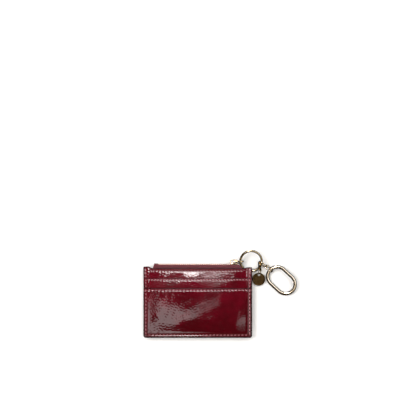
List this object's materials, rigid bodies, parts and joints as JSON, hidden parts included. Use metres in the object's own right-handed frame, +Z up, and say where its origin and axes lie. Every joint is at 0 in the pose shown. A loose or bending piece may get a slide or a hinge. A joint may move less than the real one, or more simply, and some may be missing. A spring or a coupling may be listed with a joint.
{
  "type": "zipped card case",
  "caption": "Flat zipped card case with open front card slots, a zip puller with key ring, a small disc charm and a chained oval spring clip.",
  "frame": {"origin": "centre of the flat resting face under the case, on the floor", "axes": "+X to the side that carries the key ring, +Y towards the zip, +Z up out of the front face"},
  "size_m": [0.1699, 0.0969, 0.0106],
  "materials": {
    "patent_leather": "patent gloss",
    "lining": "woven",
    "zip_tape": "woven tape",
    "thread": "waxed thread",
    "zip_metal": "rose gold plate",
    "gold_metal": "polished pale gold plate",
    "charm_metal": "dark bronze",
    "spring_steel": "plain wire"
  },
  "bodies": {
    "case": {"back_panel": "patent_leather", "back_lining": "lining", "front_lining": "lining", "front_base_panel": "patent_leather", "upper_slot_panel": "patent_leather", "lower_slot_panel": "patent_leather", "zip_tape_back": "zip_tape", "zip_tape_front": "zip_tape", "zip_teeth_back": "zip_metal", "zip_teeth_front": "zip_metal", "zip_bottom_stop": "zip_metal", "zip_top_stop_back": "zip_metal", "zip_top_stop_front": "zip_metal", "edge_thread": "thread", "zip_seam_thread": "thread", "upper_slot_thread": "thread", "lower_slot_thread": "thread"},
    "slider": {"slider_body": "gold_metal"},
    "puller": {"puller": "gold_metal"},
    "key_ring": {"key_ring": "gold_metal"},
    "chain_link_a": {"chain_link_a": "gold_metal"},
    "chain_link_b": {"chain_link_b": "gold_metal"},
    "clip": {"clip_body": "gold_metal", "gate_pin": "gold_metal"},
    "gate": {"clip_gate": "gold_metal", "gate_spring": "spring_steel"},
    "charm_link": {"charm_link": "charm_metal"},
    "charm_loop": {"charm_loop": "charm_metal"},
    "charm_disc": {"charm_disc": "charm_metal"}
  },
  "joints": [
    {"name": "slider_slide", "type": "slide", "parent": "case", "child": "slider", "axis": [-1, 0, 0], "range_m": [0, 0.0785], "deforming": ["zip_teeth_back", "zip_teeth_front", "zip_tape_back", "zip_tape_front"]},
    {"name": "puller_swing", "type": "hinge", "parent": "slider", "child": "puller", "pos_m": [0.04, 0.04485, 0.00625], "axis": [0, 0, 1], "range_deg": [0, 120]},
    {"name": "ring_turn", "type": "hinge", "parent": "puller", "child": "key_ring", "pos_m": [0.0591, 0.0452, 0.00497], "axis": [-0.011, -0.3155, 0.9489], "range_deg": [0, 110]},
    {"name": "link_a_swing", "type": "hinge", "parent": "key_ring", "child": "chain_link_a", "pos_m": [0.0709, 0.04514, 0.00509], "axis": [-0.0017, -0.9489, -0.3155], "range_deg": [0, 15]},
    {"name": "link_b_swing", "type": "hinge", "parent": "chain_link_a", "child": "chain_link_b", "pos_m": [0.07601, 0.03946, 0.00608], "axis": [0.4847, -0.6308, -0.6059], "range_deg": [-12, 3]},
    {"name": "clip_swing", "type": "hinge", "parent": "chain_link_b", "child": "clip", "pos_m": [0.08281, 0.03421, 0.00274], "axis": [-0.103, -0.5656, 0.8182], "range_deg": [-5, 50]},
    {"name": "gate_swing", "type": "hinge", "parent": "clip", "child": "gate", "pos_m": [0.087, 0.03869, 0.00473], "axis": [0.1105, 0.1143, -0.9873], "range_deg": [0, 26], "stiffness_Nm_per_rad": 0.02, "springref_deg": -17.19},
    {"name": "charm_link_swing", "type": "hinge", "parent": "key_ring", "child": "charm_link", "pos_m": [0.06769, 0.03749, 0.00251], "axis": [-0.6857, -0.6882, -0.2368], "range_deg": [-8, 4]},
    {"name": "charm_loop_swing", "type": "hinge", "parent": "charm_link", "child": "charm_loop", "pos_m": [0.06943, 0.03485, 0.00323], "axis": [-0.2105, 0.0264, -0.9772], "range_deg": [-4, 18]},
    {"name": "disc_swing", "type": "hinge", "parent": "charm_loop", "child": "charm_disc", "pos_m": [0.06858, 0.03112, 0.00121], "axis": [-0.6455, -0.4386, 0.6253], "range_deg": [-6, 12]}
  ],
  "couplings": [
    {"joint": "puller_swing", "follows": "slider_slide", "rad_per_m": 26.68}
  ]
}
